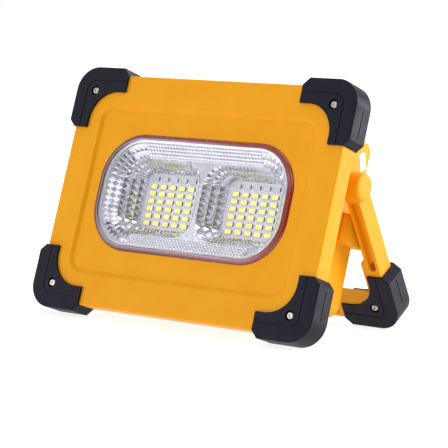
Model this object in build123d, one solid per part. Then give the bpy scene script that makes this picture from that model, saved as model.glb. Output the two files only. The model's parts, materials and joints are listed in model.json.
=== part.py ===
from build123d import *
from math import cos, radians, sin, tan
import os

# Solar flood light: a lamp head in a rectangular frame with rubber corner bumpers, a box behind it
# that holds the battery and electronics, a solar panel on the back, and a U-shaped swinging stand
# that also serves as the handle.
#
# Every sub-part is drawn in the head's own frame, in millimetres: X to the right as seen from the
# front, Y backwards from the front face of the frame, Z up along the face, origin at the centre of
# that face. The finished parts are then leaned back together, so that the head and the stand both
# stand on Z = 0, with the origin at the bottom centre of the whole object.

# ---- driving dimensions ----
frame_width = 231.0
frame_height = 169.4
frame_depth = 16.0
frame_corner = 12.0
frame_edge = 1.1             # rounding of the front edge
wall = 2.8
front_shell_depth = 12.5

lean_angle = 18.3            # head leans back from the vertical
stand_angle = 48.9           # stand opened away from the head

# bumpers, the same L at the frame and at the stand
bumper_proud = 5.1           # how far the rubber stands out past the edge it covers
bumper_leg = 45.3            # length of each leg from the outer corner
bumper_side_width = 16.8     # width of the upright leg
bumper_level_width = 17.9    # width of the level leg
bumper_corner = 17.5
bumper_hollow = 21.5         # radius of the concave inner corner
bumper_rim = 1.0             # rounding of the outer edges
bumper_groove = 10.0         # distance of the groove from the outer edges
bumper_front = -2.0
bumper_back = 17.5
bumper_wall_front = 4.0
bumper_wall_back = 3.5
bumper_end_chamfer = 4.6
screw_inset = 17.9           # screw centre from both outer edges of the bumper

# recessed front panel and window
panel_width = 187.0
panel_height = 125.0
panel_corner = 13.0
panel_recess = 2.2
panel_side_slope = 2.0
panel_level_slope = 3.2
window_half_width = 79.2
window_half_height = 38.8
window_corner = 30.0
opening_gap = 1.4            # gasket wall between the lens and the panel opening
gasket_lip = 2.5             # gasket lip lying on the panel outside the opening
gasket_crest = 0.4           # width of the gasket's front edge beside the lens
lens_thickness = 2.5

# reflector
reflector_front = panel_recess + wall
deck_depth = 12.2
floor_depth = 28.0
reflector_wall = 1.2
cup_centre = 34.9
cup_half_width = 33.5
cup_half_height = 27.8
cup_corner = 15.5
cup_floor_centre = 36.0      # also the centre of each group of LEDs
cup_floor_half_width = 23.0
cup_floor_half_height = 20.4
cup_floor_corner = 5.0

# lamp board
led_columns = 5
led_rows = 6
led_pitch_x = 8.3
led_pitch_z = 5.4
led_length = 5.7
led_width = 3.6
led_height = 0.8
board_thickness = 1.6

# housing behind the frame
box_half_width = 95.0
box_bottom = -61.0
box_top = 64.6
box_back = 69.0
box_wall = 2.5
box_corner = 8.0
pod_width = 8.0
pod_front = 45.0
pod_bottom = -11.5
pod_top = 9.0

# solar panel
solar_width = 176.0
solar_height = 114.0
solar_recess = 2.2

# hinge and stand
pivot_y = 33.4
pivot_z = 25.0
hub_diameter = 20.2
arm_thickness = 14.2
arm_inner = 104.6
arm_outer = 115.0
boss_outer = 103.4
bolt_diameter = 5.0
cross_bar_inner = 96.0       # distance of the crossbar's inner edge from the pivot
stand_bumper_front = -8.7
stand_pocket_front = pivot_y + stand_bumper_front + 3.4
arm_channel_depth = 3.5

# battery and electronics
cell_radius = 9.2
cell_length = 65.0
cell_y = 50.0
cell_rows_z = (-46.5, -27.5)
link_thickness = 0.3
holder_back = 61.0
board_back = 57.6
board_front = board_back - board_thickness
wire_radius = 0.8

# charging port and power button, one in each side pod
pod_middle_z = (pod_bottom + pod_top) / 2
port_centre_x = box_half_width + 3.6
socket_front = box_back - 9.0
cover_ear_x = (box_half_width + pod_width - 4.2, box_half_width + pod_width - 0.8)
cover_pin_radius = 0.8
cover_pin_x = box_half_width + pod_width - 2.5
cover_pin_offset = 1.9
button_x = -(box_half_width + 2.6)
button_half_x = 2.3
button_half_z = 5.6
button_travel = 1.0
button_flange_front = box_back - 4.4

# fasteners
small_screw = 2.6
small_head = 5.0
reflector_ear_front = 9.0
reflector_ear_thickness = 1.6

frame_half_w = frame_width / 2
frame_half_h = frame_height / 2
outer_x = frame_half_w + bumper_proud
outer_z = frame_half_h + bumper_proud
box_centre_z = (box_top + box_bottom) / 2
box_height = box_top - box_bottom


def corner_drop(depth, height, angle):
    """How low a bumper's rounded bottom corner comes when it is turned forwards by angle."""
    turn = radians(angle)
    return depth * sin(turn) + height * cos(turn) - bumper_rim * (sin(turn) + cos(turn) - 1)


# the stand is as long as it must be to stand level with the head
stand_tilt = stand_angle - lean_angle
pivot_rise = pivot_z * cos(radians(lean_angle)) - pivot_y * sin(radians(lean_angle))
stand_reach = pivot_rise + corner_drop(bumper_back, outer_z, lean_angle)
stand_length = (stand_reach - corner_drop(-stand_bumper_front, 0, stand_tilt)) / cos(radians(stand_tilt))


# ---- drawing helpers ----
def face_plane(y):
    """Plane facing the front, whose sketch axes are X and Z."""
    return Plane(origin=(0, y, 0), x_dir=(1, 0, 0), z_dir=(0, -1, 0))


def slab(sketch, y_front, y_back):
    """A sketch in X and Z made solid between two depths."""
    return extrude(face_plane(y_back) * sketch, amount=y_back - y_front)


def outline(half_w, half_h, corner, x=0.0, z=0.0):
    return Pos(x, z) * RectangleRounded(2 * half_w, 2 * half_h, corner)


def taper(front_sketch, back_sketch, y_front, y_back):
    """A solid that runs straight from one outline to another."""
    return loft([face_plane(y_front) * front_sketch, face_plane(y_back) * back_sketch])


def block(x0, x1, y0, y1, z0, z1):
    size = (abs(x1 - x0), abs(y1 - y0), abs(z1 - z0))
    return Pos((x0 + x1) / 2, (y0 + y1) / 2, (z0 + z1) / 2) * Box(*size)


def rod_x(radius, x0, x1, y, z):
    return Pos((x0 + x1) / 2, y, z) * Rot(0, 90, 0) * Cylinder(radius, abs(x1 - x0))


def rod_y(radius, y0, y1, x, z):
    return Pos(x, (y0 + y1) / 2, z) * Rot(90, 0, 0) * Cylinder(radius, abs(y1 - y0))


def mirrored(shape):
    return mirror(shape, about=Plane.YZ)


def corners():
    """Name and signs of the four corners, as seen from the front."""
    for side, sign_x in (("left", -1), ("right", 1)):
        for level, sign_z in (("top", 1), ("bottom", -1)):
            yield level + "_" + side, sign_x, sign_z


def phillips_screw(head_y, direction, length, x, z, radius=small_screw / 2, head=small_head / 2):
    """Pan-head screw with a crossed slot; its shank runs from head_y along direction (+1 or -1)."""
    shank = rod_y(radius, head_y, head_y + direction * length, x, z)
    cap = rod_y(head, head_y - direction * 1.8, head_y, x, z)
    rim_y = head_y - direction * 1.8
    cap = chamfer(cap.edges().filter_by(GeomType.CIRCLE).sort_by(Axis.Y)[0 if direction > 0 else -1], 0.5)
    slot_y = (rim_y, rim_y + direction * 0.9)
    slots = block(x - 1.4, x + 1.4, *slot_y, z - 0.3, z + 0.3)
    slots += block(x - 0.3, x + 0.3, *slot_y, z - 1.4, z + 1.4)
    return shank + cap - slots


# ---- bumpers ----
def bumper_outline():
    """L of the bumper, corner at the origin, legs along +X and +Z, before it is placed."""
    leg = bumper_leg
    side = bumper_side_width
    level = bumper_level_width
    cut = bumper_end_chamfer
    hollow_top = (side, level + bumper_hollow)
    hollow_end = (side + bumper_hollow, level)
    with BuildSketch() as sketch:
        with BuildLine():
            Polyline((0, bumper_corner), (0, leg - cut), (cut, leg), (side, leg), hollow_top)
            RadiusArc(hollow_top, hollow_end, -bumper_hollow)
            Polyline(hollow_end, (leg, level), (leg, cut), (leg - cut, 0), (bumper_corner, 0))
            RadiusArc((bumper_corner, 0), (0, bumper_corner), bumper_corner)
        make_face()
    return sketch.sketch


def corner_sketch(sketch, sign_x, sign_z):
    """Place an L drawn at the lower left at any corner of the frame."""
    placed = Pos(-outer_x, -outer_z) * sketch
    if sign_x > 0:
        placed = mirror(placed, about=Plane.YZ)
    if sign_z > 0:
        placed = mirror(placed, about=Plane.XZ)
    return placed


def lower_left_bumper(y_front, y_back, pocket_front, pocket_back):
    """Rubber corner at the lower left, pocketed where it slips over the edge it guards."""
    body = slab(Pos(-outer_x, -outer_z) * bumper_outline(), y_front, y_back)
    rim = body.edges().group_by(Axis.Y)[0] + body.edges().group_by(Axis.Y)[-1]
    rim = rim.filter_by(lambda e: (e @ 0.5).X < -outer_x + 6 or (e @ 0.5).Z < -outer_z + 6)
    body = fillet(rim, bumper_rim)
    pocket = slab(Pos(-outer_x + 100 + bumper_proud, -outer_z + 100 + bumper_proud)
                  * RectangleRounded(200, 200, frame_corner), pocket_front, pocket_back)
    body -= pocket
    # groove round the front and the back, parallel to the outer edge
    size = 2 * bumper_leg
    line = 0.7
    groove = Pos(-outer_x + bumper_groove + size / 2, -outer_z + bumper_groove + size / 2) * (
        RectangleRounded(size, size, 8.0) - Pos(line, line) * RectangleRounded(size, size, 8.0 - line))
    body -= slab(groove, y_front - 1, y_front + 0.5)
    body -= slab(groove, y_back - 0.5, y_back + 1)
    # slit along the middle of both outer sides
    middle = (y_front + y_back) / 2
    body -= block(-outer_x - 1, -outer_x + 0.7, middle - 0.4, middle + 0.4, -outer_z + 18, -outer_z + 38)
    body -= block(-outer_x + 18, -outer_x + 38, middle - 0.4, middle + 0.4, -outer_z - 1, -outer_z + 0.7)
    # counterbored screw holes from both faces
    x = -outer_x + screw_inset
    z = -outer_z + screw_inset
    body -= rod_y(small_screw / 2 + 0.2, y_front - 1, y_back + 1, x, z)
    body -= rod_y(3.6, y_front - 1, y_front + 2.0, x, z)
    body -= rod_y(3.6, y_back - 2.0, y_back + 1, x, z)
    return body


def place_corner(shape, sign_x, sign_z):
    """Mirror a shape drawn at the lower left to another corner."""
    placed = shape
    if sign_x > 0:
        placed = mirror(placed, about=Plane.YZ)
    if sign_z > 0:
        placed = mirror(placed, about=Plane.XY)
    return placed


def frame_bumper():
    return lower_left_bumper(bumper_front, bumper_back, bumper_front + bumper_wall_front,
                             bumper_back - bumper_wall_back)


def frame_bumper_screws(from_front):
    screws = []
    for _, sign_x, sign_z in corners():
        x = sign_x * (outer_x - screw_inset)
        z = sign_z * (outer_z - screw_inset)
        if from_front:
            screws.append(phillips_screw(bumper_front + 2.0, 1, 7.5, x, z))
        else:
            screws.append(phillips_screw(bumper_back - 2.0, -1, 6.0, x, z))
    return Compound(screws)


# ---- front shell, lens and gasket ----
def bumper_seats(y_front, y_back):
    """The four L-shaped areas that the bumpers cover."""
    seats = [slab(corner_sketch(bumper_outline(), sx, sz), y_front, y_back) for _, sx, sz in corners()]
    return seats


def front_shell():
    plate = outline(frame_half_w, frame_half_h, frame_corner)
    body = slab(plate, 0, front_shell_depth)
    edge = body.edges().group_by(Axis.Y)[0]
    body = fillet(edge, frame_edge)
    inner = outline(frame_half_w - wall, frame_half_h - wall, frame_corner - wall)
    body -= slab(inner, panel_recess + wall, front_shell_depth + 1)
    # recessed panel with sloping sides
    outer_panel = outline(panel_width / 2, panel_height / 2, panel_corner)
    inner_panel = outline(panel_width / 2 - panel_side_slope, panel_height / 2 - panel_level_slope,
                          panel_corner - panel_level_slope)
    body -= taper(outer_panel, inner_panel, 0, panel_recess)
    # thinner flange around the panel, so that the wall stays even
    body -= (slab(inner, wall, panel_recess + wall)
             - slab(outline(panel_width / 2 + wall, panel_height / 2 + wall, panel_corner + wall),
                    wall - 1, panel_recess + wall + 1))
    # solid corners that carry the bumpers, stepped back under the rubber
    for seat in bumper_seats(bumper_front + bumper_wall_front, front_shell_depth):
        body += seat & slab(plate, 0, front_shell_depth)
    for seat in bumper_seats(-1, bumper_front + bumper_wall_front):
        body -= seat
    for _, sx, sz in corners():
        x = sx * (outer_x - screw_inset)
        z = sz * (outer_z - screw_inset)
        body -= rod_y(small_screw / 2, 0, front_shell_depth + 1, x, z)
    # opening for the window
    body -= slab(window_outline(opening_gap), -1, 20)
    # posts for the reflector and for the screws that join the shells
    for x, z in reflector_screw_points():
        body += rod_y(3.2, panel_recess + wall - 0.5, reflector_ear_front, x, z)
        body -= rod_y(small_screw / 2, panel_recess + wall, reflector_ear_front + 1, x, z)
    for x, z in shell_screw_points():
        body += rod_y(3.4, wall - 0.5, front_shell_depth, x, z)
        body -= rod_y(small_screw / 2, wall + 1.5, front_shell_depth + 1, x, z)
    return body


def reflector_screw_points():
    return [(sx * 88.5, sz * 26.0) for sx in (-1, 1) for sz in (-1, 1)]


def shell_screw_points():
    top = [(x, frame_half_h - 9.5) for x in (-26.0, 26.0)]
    bottom = [(x, -frame_half_h + 9.5) for x in (-26.0, 26.0)]
    sides = [(sx * (frame_half_w - 9.0), z) for sx in (-1, 1) for z in (-30.0, 6.0)]
    return top + bottom + sides


def lens():
    body = slab(window_outline(-0.05), -0.4, lens_thickness - 0.4)
    return fillet(body.edges().group_by(Axis.Y)[0], 1.2)


def window_outline(grow):
    return outline(window_half_width + grow, window_half_height + grow, window_corner + grow)


def lens_gasket():
    """Rubber ring round the lens, whose face slopes back to a lip on the panel."""
    body = taper(window_outline(gasket_crest), window_outline(opening_gap + gasket_lip), 0.2, panel_recess)
    body += slab(window_outline(opening_gap), panel_recess, panel_recess + wall)
    body -= slab(window_outline(0), -1, lens_thickness - 0.4)
    body -= slab(window_outline(-1.7), -1, 20)
    return body


# ---- reflector and lamp board ----
def tray_space(grow):
    """The hollow of the reflector, grown outwards by a wall thickness."""
    opening = window_outline(grow - 1.7)
    deck_w = cup_centre + cup_half_width
    deck = outline(deck_w + grow, cup_half_height + grow + 0.4, cup_corner + 1 + grow)
    space = taper(opening, deck, reflector_front, deck_depth)
    for side in (-1, 1):
        top = outline(cup_half_width + grow, cup_half_height + grow, cup_corner + grow, side * cup_centre)
        foot = outline(cup_floor_half_width + grow, cup_floor_half_height + grow,
                       cup_floor_corner + grow, side * cup_floor_centre)
        space += taper(top, foot, deck_depth, floor_depth)
    return space


def reflector():
    body = tray_space(reflector_wall)
    # rim that closes against the gasket and the back of the panel
    body += slab(window_outline(3.3), reflector_front, reflector_front + reflector_wall)
    # deck between and around the two cups
    deck_w = cup_centre + cup_half_width + reflector_wall
    body += slab(outline(deck_w, cup_half_height + reflector_wall, cup_corner + reflector_wall),
                 deck_depth, deck_depth + reflector_wall)
    for x, z in reflector_screw_points():
        side = 1 if x > 0 else -1
        body += block(x - side * 18, x + side * 4, reflector_ear_front,
                      reflector_ear_front + reflector_ear_thickness, z - 4, z + 4)
        body -= rod_y(small_screw / 2 + 0.2, reflector_ear_front - 1,
                      reflector_ear_front + reflector_ear_thickness + 1, x, z)
    # four posts that carry the lamp board
    for x, z in lamp_screw_points():
        body += rod_y(2.4, deck_depth + 2, floor_depth, x, z)
    body -= tray_space(0)
    for x, z in lamp_screw_points():
        body -= rod_y(small_screw / 2 - 0.3, floor_depth - 4.5, floor_depth + 1, x, z)
    return body


def lamp_screw_points():
    return [(sx * 66.0, sz * 12.0) for sx in (-1, 1) for sz in (-1, 1)]


def reflector_screws():
    head_y = reflector_ear_front + reflector_ear_thickness
    return Compound([phillips_screw(head_y, -1, 4.8, x, z) for x, z in reflector_screw_points()])


def led_board():
    body = slab(outline(74.0, 26.0, 3.0), floor_depth, floor_depth + board_thickness)
    for x, z in lamp_screw_points():
        body -= rod_y(small_screw / 2, floor_depth - 1, floor_depth + board_thickness + 1, x, z)
    return body


def led_points(row):
    """Centres of one row of LEDs in both arrays; row 0 is the top row of signal LEDs."""
    z = (led_rows / 2 - row) * led_pitch_z + (0.4 if row == 0 else 0.0)
    for side in (-1, 1):
        for column in range(led_columns):
            yield side * cup_floor_centre + (column - (led_columns - 1) / 2) * led_pitch_x, z


def led_package(x, z):
    half_l = led_length / 2
    half_w = led_width / 2
    body = block(x - half_l, x + half_l, floor_depth - led_height, floor_depth, z - half_w, z + half_w)
    dish = block(x - half_l + 0.6, x + half_l - 0.6, floor_depth - led_height - 1,
                 floor_depth - led_height + 0.2, z - half_w + 0.5, z + half_w - 0.5)
    return body - dish


def lamp_leds():
    return Compound([led_package(x, z) for row in range(1, led_rows + 1) for x, z in led_points(row)])


def signal_leds():
    return Compound([led_package(x, z) for x, z in led_points(0)])


def heat_sink():
    y0 = floor_depth + board_thickness
    body = slab(outline(74.0, 26.0, 3.0), y0, y0 + 2.0)
    for index in range(9):
        z = (index - 4) * 5.5
        body += block(-60, 60, y0 + 1.5, y0 + 8.0, z - 0.7, z + 0.7)
    body -= block(69, 75, y0 - 1, y0 + 3, -6, 6)
    for x, z in lamp_screw_points():
        body -= rod_y(small_screw / 2, y0 - 1, y0 + 3, x, z)
    return body


def led_board_screws():
    head_y = floor_depth + board_thickness + 2.0
    return Compound([phillips_screw(head_y, -1, 7.6, x, z, radius=1.0) for x, z in lamp_screw_points()])


# ---- rear shell ----
def rear_shell():
    flange = slab(outline(frame_half_w, frame_half_h, frame_corner), front_shell_depth, frame_depth)
    flange = fillet(flange.edges().group_by(Axis.Y)[-1], 1.2)
    box_sketch = outline(box_half_width, box_height / 2, box_corner, 0, box_centre_z)
    box = slab(box_sketch, front_shell_depth, box_back)
    box = fillet(box.edges().group_by(Axis.Y)[-1], 1.8)
    body = flange + box
    # gusset ribs on the ledges above and below the box
    for x in (-52.0, 0.0, 52.0):
        body += gusset(x, box_top - 0.5, 1, 14.0)
        body += gusset(x, box_bottom + 0.5, -1, 15.0)
    # side pods for the button and the charging socket
    for side in (-1, 1):
        pod = block(side * (box_half_width - 1), side * (box_half_width + pod_width), pod_front, box_back,
                    pod_bottom, pod_top)
        far = side * (box_half_width + pod_width)
        pod = chamfer(pod.edges().filter_by(Axis.Z).filter_by(
            lambda e: abs(e.center().X - far) < 0.1 and e.center().Y < pod_front + 1), 4.0)
        pod = fillet(pod.edges().filter_by(Axis.Y).filter_by(lambda e: abs(e.center().X - far) < 0.1), 1.5)
        body += pod
        body += rod_x(hub_diameter / 2, side * (box_half_width - 1), side * boss_outer, pivot_y, pivot_z)
        body += rod_x(9.0, side * (box_half_width - 9), side * (box_half_width - 2), pivot_y, pivot_z)
    # hollow interior
    inner = outline(box_half_width - box_wall, box_height / 2 - box_wall, box_corner - box_wall, 0,
                    box_centre_z)
    hollow = slab(inner, front_shell_depth - 1, box_back - solar_recess - box_wall)
    for side in (-1, 1):
        hollow -= rod_x(9.0, side * (box_half_width - 9), side * box_half_width, pivot_y, pivot_z)
    body -= hollow
    # recess for the solar panel, with a rim left around it and a hole for its leads
    body -= slab(outline(solar_width / 2 + 0.2, solar_height / 2 + 0.2, 2.2, 0, box_centre_z),
                 box_back - solar_recess, box_back + 1)
    body -= block(-70, -58, box_back - solar_recess - box_wall - 1, box_back, 40, 46)
    for side in (-1, 1):
        body -= block(side * (box_half_width - box_wall - 1), side * (box_half_width + pod_width - 2.0),
                      pod_front + 6, box_back - 2.0, pod_bottom + 2.0, pod_top - 2.0)
        # hinge bolt hole and nut trap
        body -= rod_x(bolt_diameter / 2, side * (box_half_width - 12), side * (boss_outer + 1),
                      pivot_y, pivot_z)
        body -= hex_rod(8.0, side * (box_half_width - 10), side * (box_half_width - 4.5))
    # openings in the rear faces of the pods
    body -= block(*port_x(), box_back - 3, box_back + 1, *port_z())
    body -= slab(outline(button_half_x + 0.25, button_half_z + 0.25, 1.6, button_x, pod_middle_z),
                 box_back - 3, box_back + 1)
    # ears for the hinge pin of the port cover
    for z0, z1 in cover_ear_z():
        body += block(cover_ear_x[0], cover_ear_x[1], box_back - 0.5, box_back + 3.4, z0, z1)
    body -= rod_z(cover_pin_radius, cover_pin_x, box_back + cover_pin_offset, pod_bottom, pod_top)
    # corners stepped down under the rubber bumpers
    for seat in bumper_seats(bumper_back - bumper_wall_back, frame_depth + 1):
        body -= seat
    for _, sx, sz in corners():
        x = sx * (outer_x - screw_inset)
        z = sz * (outer_z - screw_inset)
        body -= rod_y(small_screw / 2, front_shell_depth - 1, frame_depth + 1, x, z)
    for x, z in shell_screw_points():
        body -= rod_y(small_screw / 2 + 0.2, front_shell_depth - 1, frame_depth + 1, x, z)
        body -= rod_y(3.0, frame_depth - 1.9, frame_depth + 1, x, z)
    # standoffs for the control board and the battery holder
    inside = box_back - solar_recess - box_wall
    for x, z in board_screw_points():
        body += rod_y(3.0, board_back, inside + 0.5, x, z)
        body -= rod_y(small_screw / 2, board_back - 1, inside - 0.5, x, z)
    for x, z in holder_screw_points():
        body += rod_y(3.0, holder_back, inside + 0.5, x, z)
        body -= rod_y(small_screw / 2, holder_back - 1, inside - 0.5, x, z)
    return body


def rod_z(radius, x, y, z0, z1):
    return Pos(x, y, (z0 + z1) / 2) * Cylinder(radius, abs(z1 - z0))


def hex_rod(across_flats, x0, x1):
    nut = RegularPolygon(across_flats / 2, 6, major_radius=False)
    start = min(x0, x1)
    plane = Plane(origin=(start, pivot_y, pivot_z), x_dir=(0, 1, 0), z_dir=(1, 0, 0))
    return extrude(plane * nut, amount=abs(x1 - x0))


def gusset(x, z_wall, direction, reach):
    """Triangular rib between the flange and the box wall."""
    with BuildSketch(Plane(origin=(x - 1.5, 0, 0), x_dir=(0, 1, 0), z_dir=(1, 0, 0))) as rib:
        with BuildLine():
            Polyline((frame_depth - 0.5, z_wall), (frame_depth - 0.5, z_wall + direction * reach),
                     (frame_depth + 1.5, z_wall + direction * reach), (frame_depth + 26.0, z_wall + direction),
                     (frame_depth + 26.0, z_wall), close=True)
        make_face()
    return extrude(rib.sketch, amount=3.0)


def shell_seal():
    """Rubber strip in the joint between the two shells."""
    outer = outline(frame_half_w - wall - 0.1, frame_half_h - wall - 0.1, frame_corner - wall)
    inner = outline(frame_half_w - wall - 2.1, frame_half_h - wall - 2.1, frame_corner - wall - 2)
    body = slab(outer - inner, front_shell_depth - 2.0, front_shell_depth)
    for seat in bumper_seats(0, 20):
        body -= seat
    return Compound(body.solids())


def shell_screws():
    head_y = frame_depth - 1.9
    return Compound([phillips_screw(head_y, -1, 9.0, x, z) for x, z in shell_screw_points()])


# ---- solar panel ----
def solar_backing():
    return slab(outline(solar_width / 2, solar_height / 2, 2.0, 0, box_centre_z),
                box_back - solar_recess, box_back - solar_recess + 1.2)


def solar_cells():
    """Two rows of cut silicon cells."""
    cells = []
    count = 6
    margin = 4.5
    gap = 0.9
    cell_w = (solar_width - 2 * margin - (count - 1) * gap) / count
    cell_h = (solar_height - 2 * margin - 3.0) / 2
    y0 = box_back - solar_recess + 1.2
    for row in (-1, 1):
        for column in range(count):
            x = -solar_width / 2 + margin + cell_w / 2 + column * (cell_w + gap)
            z = box_centre_z + row * (cell_h / 2 + 1.5)
            cells.append(slab(Pos(x, z) * Rectangle(cell_w, cell_h), y0, y0 + 0.25))
    return Compound(cells)


def solar_cover():
    """Clear resin cast over the cells."""
    y0 = box_back - solar_recess + 1.2
    body = slab(outline(solar_width / 2, solar_height / 2, 2.0, 0, box_centre_z), y0, y0 + 0.8)
    body = fillet(body.edges().group_by(Axis.Y)[-1], 0.4)
    for cell in solar_cells().solids():
        body -= cell
    return body


# ---- battery and electronics ----

def battery_cells():
    cells = []
    for z in cell_rows_z:
        for side in (-1, 1):
            x0 = side * 1.5
            cell = rod_x(cell_radius, x0, x0 + side * cell_length, cell_y, z)
            tip = rod_x(2.8, x0 + side * cell_length - side * 0.5, x0 + side * (cell_length + 1.0), cell_y, z)
            cells.append(cell + tip)
    return Compound(cells)


def battery_holder():
    body = block(-71, 71, cell_y - 1.0, holder_back, -57.5, -16.5)
    for z in cell_rows_z:
        body -= rod_x(cell_radius + 0.15, -68.5, 68.5, cell_y, z)
        body -= block(-68.5, 68.5, cell_y - 2, cell_y, z - cell_radius - 0.15, z + cell_radius + 0.15)
    for side in (-1, 1):
        link_x = side * (cell_length + 2.0)
        body -= block(link_x, link_x + side * 1.5, cell_y - 4, cell_y + 4, *cell_rows_z)
    for x, z in holder_screw_points():
        inner = 70.5 if x > 0 else -70.5
        body += block(inner, x, holder_back - 2.5, holder_back, z - 3.6, z + 3.6)
        body += rod_y(3.6, holder_back - 2.5, holder_back, x, z)
        body -= rod_y(small_screw / 2 + 0.2, holder_back - 10, holder_back + 1, x, z)
    return body


def holder_screw_points():
    return [(sx * 75.5, z) for sx in (-1, 1) for z in (-50.0, -24.0)]


def holder_screws():
    return Compound([phillips_screw(holder_back - 2.5, 1, 5.0, x, z) for x, z in holder_screw_points()])


def cell_links():
    """Nickel strips that join the cells at their ends."""
    strips = []
    for side in (-1, 1):
        x = side * (1.5 + cell_length + 1.0)
        strips.append(block(x, x + side * link_thickness, cell_y - 3.5, cell_y + 3.5, cell_rows_z[0] - 4,
                            cell_rows_z[1] + 4))
    return Compound(strips)


def board_screw_points():
    return [(sx * 48.0, z) for sx in (-1, 1) for z in (8.0, 50.0)]


def control_board():
    body = slab(Pos(0, 29.0) * RectangleRounded(106, 52, 2), board_front, board_back)
    for x, z in board_screw_points():
        body -= rod_y(small_screw / 2 + 0.2, board_back - 5, board_back + 1, x, z)
    return body


def board_parts():
    """Coil, capacitors, transistors and the control chip on the front of the board."""
    y = board_front
    parts = [rod_y(6.5, y - 7.0, y, -30.0, 40.0), rod_y(5.0, y - 9.0, y, -12.0, 42.0)]
    parts.append(rod_y(5.0, y - 9.0, y, 2.0, 42.0))
    parts.append(block(14, 24, y - 1.6, y, 30, 38))
    parts.append(block(-6, 2, y - 1.6, y, 16, 24))
    for index in range(3):
        x = -36.0 + index * 11.0
        parts.append(block(x, x + 6.5, y - 2.3, y, 14, 20))
    parts.append(block(30, 44, y - 6.0, y, 18, 26))
    return Compound(parts)


def board_screws():
    return Compound([phillips_screw(board_front, 1, 6.0, x, z) for x, z in board_screw_points()])


# ---- charging port in the right-hand pod ----

def port_x():
    return port_centre_x - 2.9, port_centre_x + 1.7


def port_z():
    return pod_middle_z - 4.6, pod_middle_z + 4.6


def cover_ear_z():
    return (pod_bottom + 1.4, pod_bottom + 3.6), (pod_top - 3.6, pod_top - 1.4)


def port_socket():
    """Metal shell of the charging socket, open to the rear."""
    x0, x1 = port_x()
    z0, z1 = port_z()
    body = block(x0 + 0.1, x1 - 0.1, socket_front, box_back - 1.2, z0 + 0.1, z1 - 0.1)
    body -= block(x0 + 0.6, x1 - 0.6, socket_front + 1.5, box_back, z0 + 0.6, z1 - 0.6)
    body += block(x0 + 1.9, x0 + 2.7, socket_front + 1, box_back - 3, z0 + 1.6, z1 - 1.6)
    return body


def port_cover():
    """Rubber flap over the socket, with a plug lip and a rolled hinge."""
    y0 = box_back + 0.3
    x_edge = box_half_width + 0.2
    body = block(x_edge, cover_pin_x, y0, y0 + 1.8, pod_bottom + 1.0, pod_top - 1.0)
    body = fillet(body.edges().filter_by(Axis.Y).filter_by(lambda e: e.center().X < x_edge + 1), 1.6)
    body -= block(cover_ear_x[0] - 0.9, cover_ear_x[1] + 1, y0 - 1, y0 + 5, pod_bottom, pod_bottom + 4.0)
    body -= block(cover_ear_x[0] - 0.9, cover_ear_x[1] + 1, y0 - 1, y0 + 5, pod_top - 4.0, pod_top)
    body += rod_z(1.55, cover_pin_x, box_back + cover_pin_offset, pod_bottom + 4.0, pod_top - 4.0)
    body -= rod_z(cover_pin_radius + 0.05, cover_pin_x, box_back + cover_pin_offset,
                  pod_bottom - 1, pod_top + 1)
    return body


def port_cover_pin():
    return rod_z(cover_pin_radius, cover_pin_x, box_back + cover_pin_offset, pod_bottom + 1.4, pod_top - 1.4)


# ---- power button in the left-hand pod ----

def power_button():
    body = slab(outline(button_half_x, button_half_z, 1.4, button_x, pod_middle_z), box_back - 3.6,
                box_back + 1.5)
    body = fillet(body.edges().group_by(Axis.Y)[-1], 0.7)
    body += slab(outline(button_half_x + 0.9, button_half_z + 0.9, 1.6, button_x, pod_middle_z),
                 button_flange_front, button_flange_front + 1.0)
    return body


def button_switch():
    """Small tactile switch behind the button, on its own board."""
    y0 = button_flange_front - button_travel - 0.2
    body = block(button_x - 3.0, button_x + 3.0, y0 - 4.0, y0 - 0.9, pod_middle_z - 3.0, pod_middle_z + 3.0)
    body += rod_y(1.5, y0 - 1.2, y0, button_x, pod_middle_z)
    body += block(button_x - 3.2, button_x + 4.5, y0 - 5.4, y0 - 4.0, pod_middle_z - 7.5, pod_middle_z + 7.5)
    return body


# ---- small trim ----
def side_label():
    """Plain white sticker on the wall above the hinge."""
    tag = Pos(60.3, 48.6) * Rot(0, 0, 29) * Rectangle(7.2, 12.4)
    plane = Plane(origin=(box_half_width, 0, 0), x_dir=(0, 1, 0), z_dir=(1, 0, 0))
    return extrude(plane * tag, amount=0.15)


# ---- internal wiring ----
def wire(points):
    """Round wire along straight runs joined by arcs as large as the runs allow."""
    corners_of_route = [Vector(*point) for point in points]
    radii = []
    for before, corner, after in zip(corners_of_route, corners_of_route[1:], corners_of_route[2:]):
        first = corner - before
        second = after - corner
        half_turn = radians(first.get_angle(second)) / 2
        radii.append(0.45 * min(first.length, second.length) / tan(half_turn))
    path = FilletPolyline(*corners_of_route, radius=radii)
    section = Plane(origin=path @ 0, z_dir=path % 0) * Circle(wire_radius)
    return sweep(section, path=path)


def wire_pair(points, spread):
    """Two wires side by side, the second moved by spread."""
    second = [tuple(value + step for value, step in zip(point, spread)) for point in points]
    return Compound([wire(points), wire(second)])


def lamp_wires():
    start = floor_depth + board_thickness
    route = [(71.5, start, 2.5), (71.5, start + 10, 2.5), (66.5, start + 16.5, 8.5),
             (58.5, start + 18.5, 18.5), (49.5, start + 20.0, 24.5), (46.5, board_front - 5.0, 27.0),
             (46.5, board_front, 27.0)]
    return wire_pair(route, (0, 0, -3.4))


def battery_wires():
    link_x = cell_length + 2.5 + link_thickness / 2
    wires = []
    for side in (-1, 1):
        route = [(link_x, cell_y - 3.5, -27.0), (link_x, cell_y - 9.5, -27.0), (63.5, cell_y - 12.5, -18.5),
                 (55.0, cell_y - 10.5, -9.0), (45.0, cell_y - 6.0, -1.0), (38.5, board_front - 7.0, 6.0),
                 (38.5, board_front, 6.0)]
        wires.append(wire([(side * x, y, z) for x, y, z in route]))
    return Compound(wires)


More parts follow.
